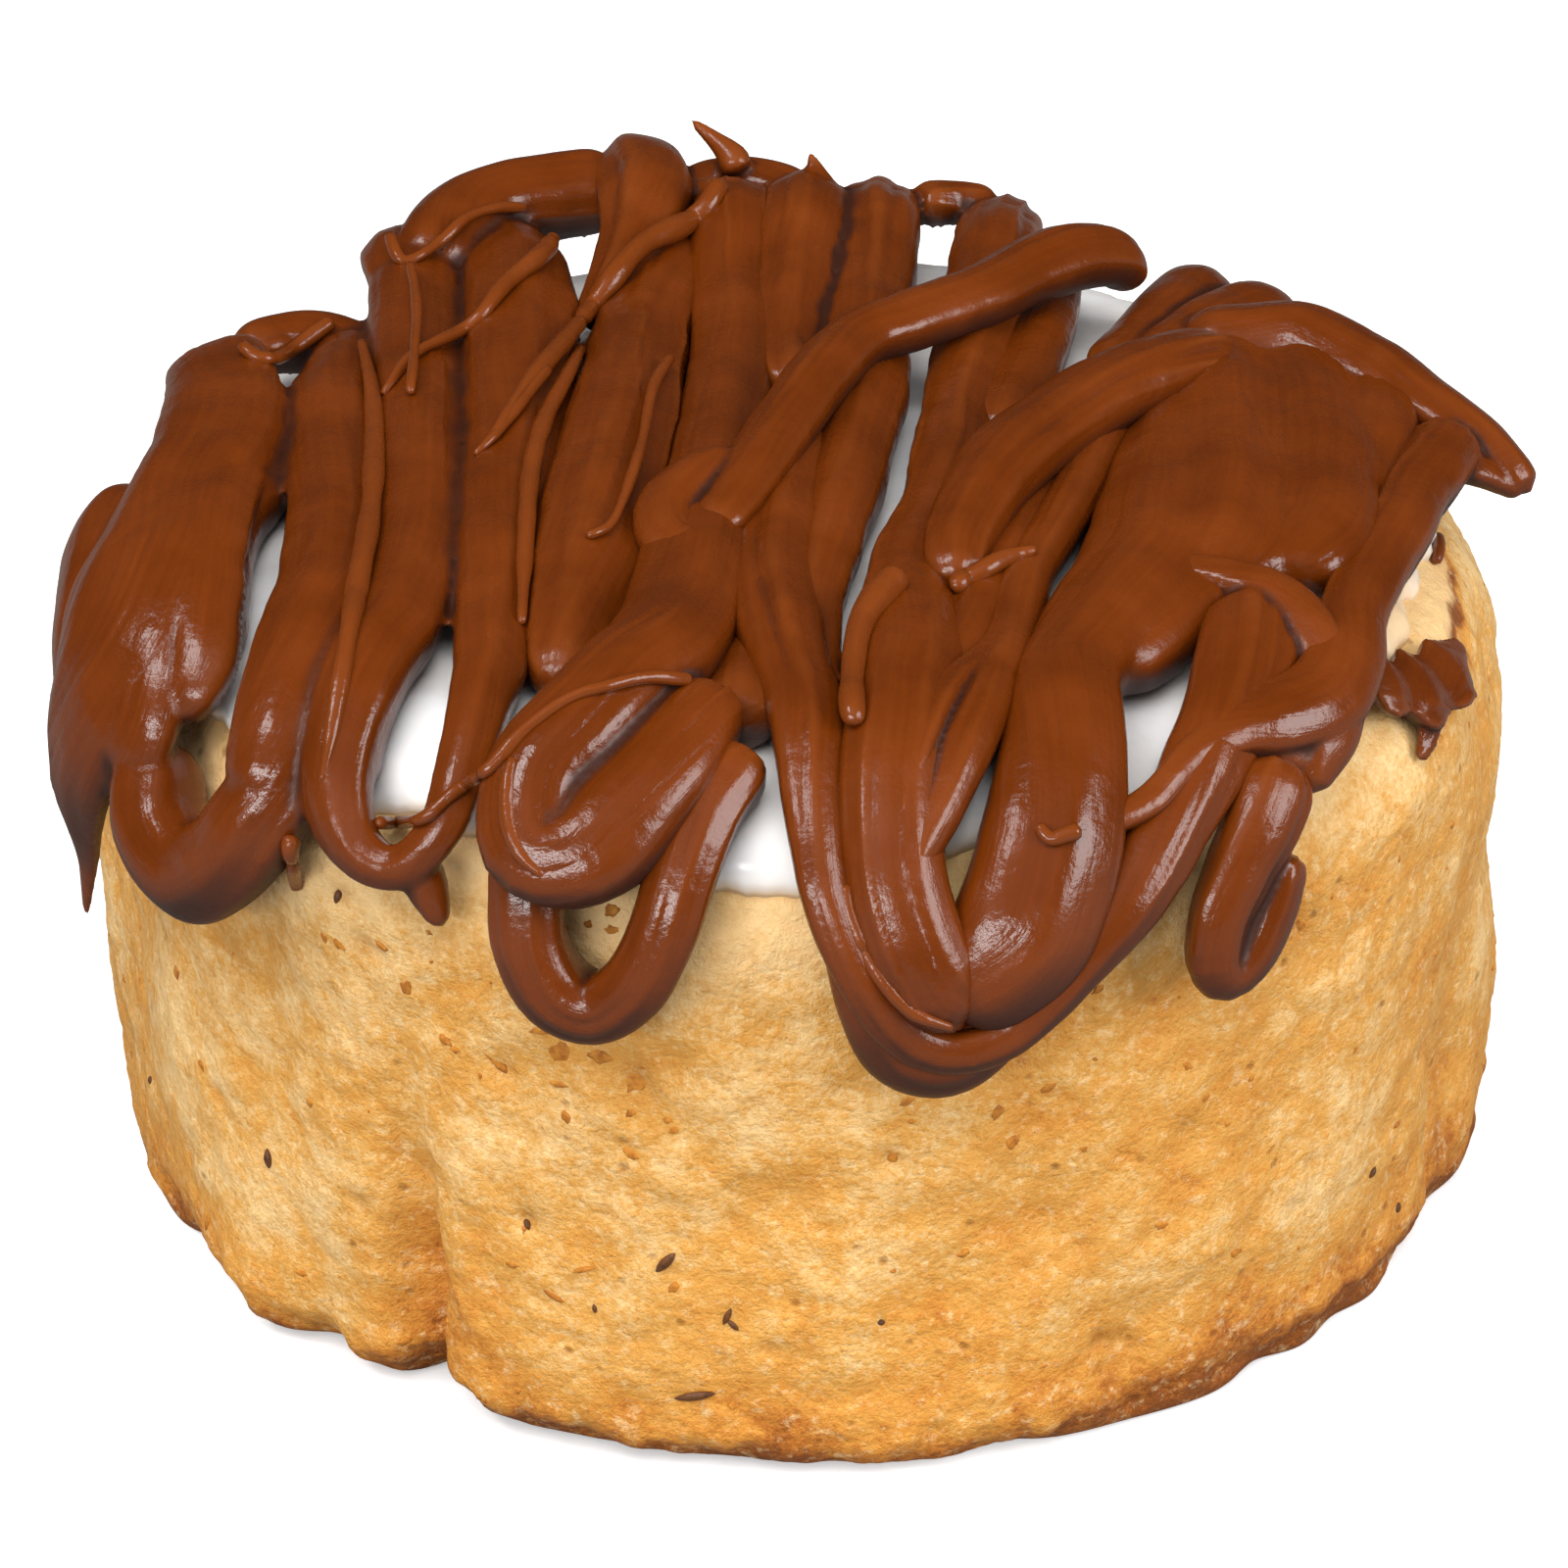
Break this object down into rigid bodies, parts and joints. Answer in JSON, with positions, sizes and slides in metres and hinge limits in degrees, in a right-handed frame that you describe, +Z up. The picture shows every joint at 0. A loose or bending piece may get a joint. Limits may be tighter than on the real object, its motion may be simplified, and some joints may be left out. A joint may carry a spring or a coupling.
{
  "type": "chocolate sweet roll",
  "caption": "Round soft bread roll with a thin cap of white icing and thick glossy ropes of chocolate cream laid over the top and hanging down the sides.",
  "frame": {"origin": "middle of the whole roll's bounding box in X and Y, on the surface that the roll stands on", "axes": "+Z up out of the bun's top, -Y towards the front seen in the picture, +X to its right"},
  "size_m": [0.1138, 0.1182, 0.0674],
  "materials": {
    "crust": "soft baked bread crust, pale gold on the side and browner at the foot, matte to satin",
    "icing": "smooth wet white sugar icing, glossy",
    "chocolate": "smooth chocolate and nut cream, satin to glossy, with fine drawn ridges along each rope"
  },
  "bodies": {
    "root": {"bun": "crust", "icing": "icing", "chocolate": "chocolate"}
  },
  "joints": []
}
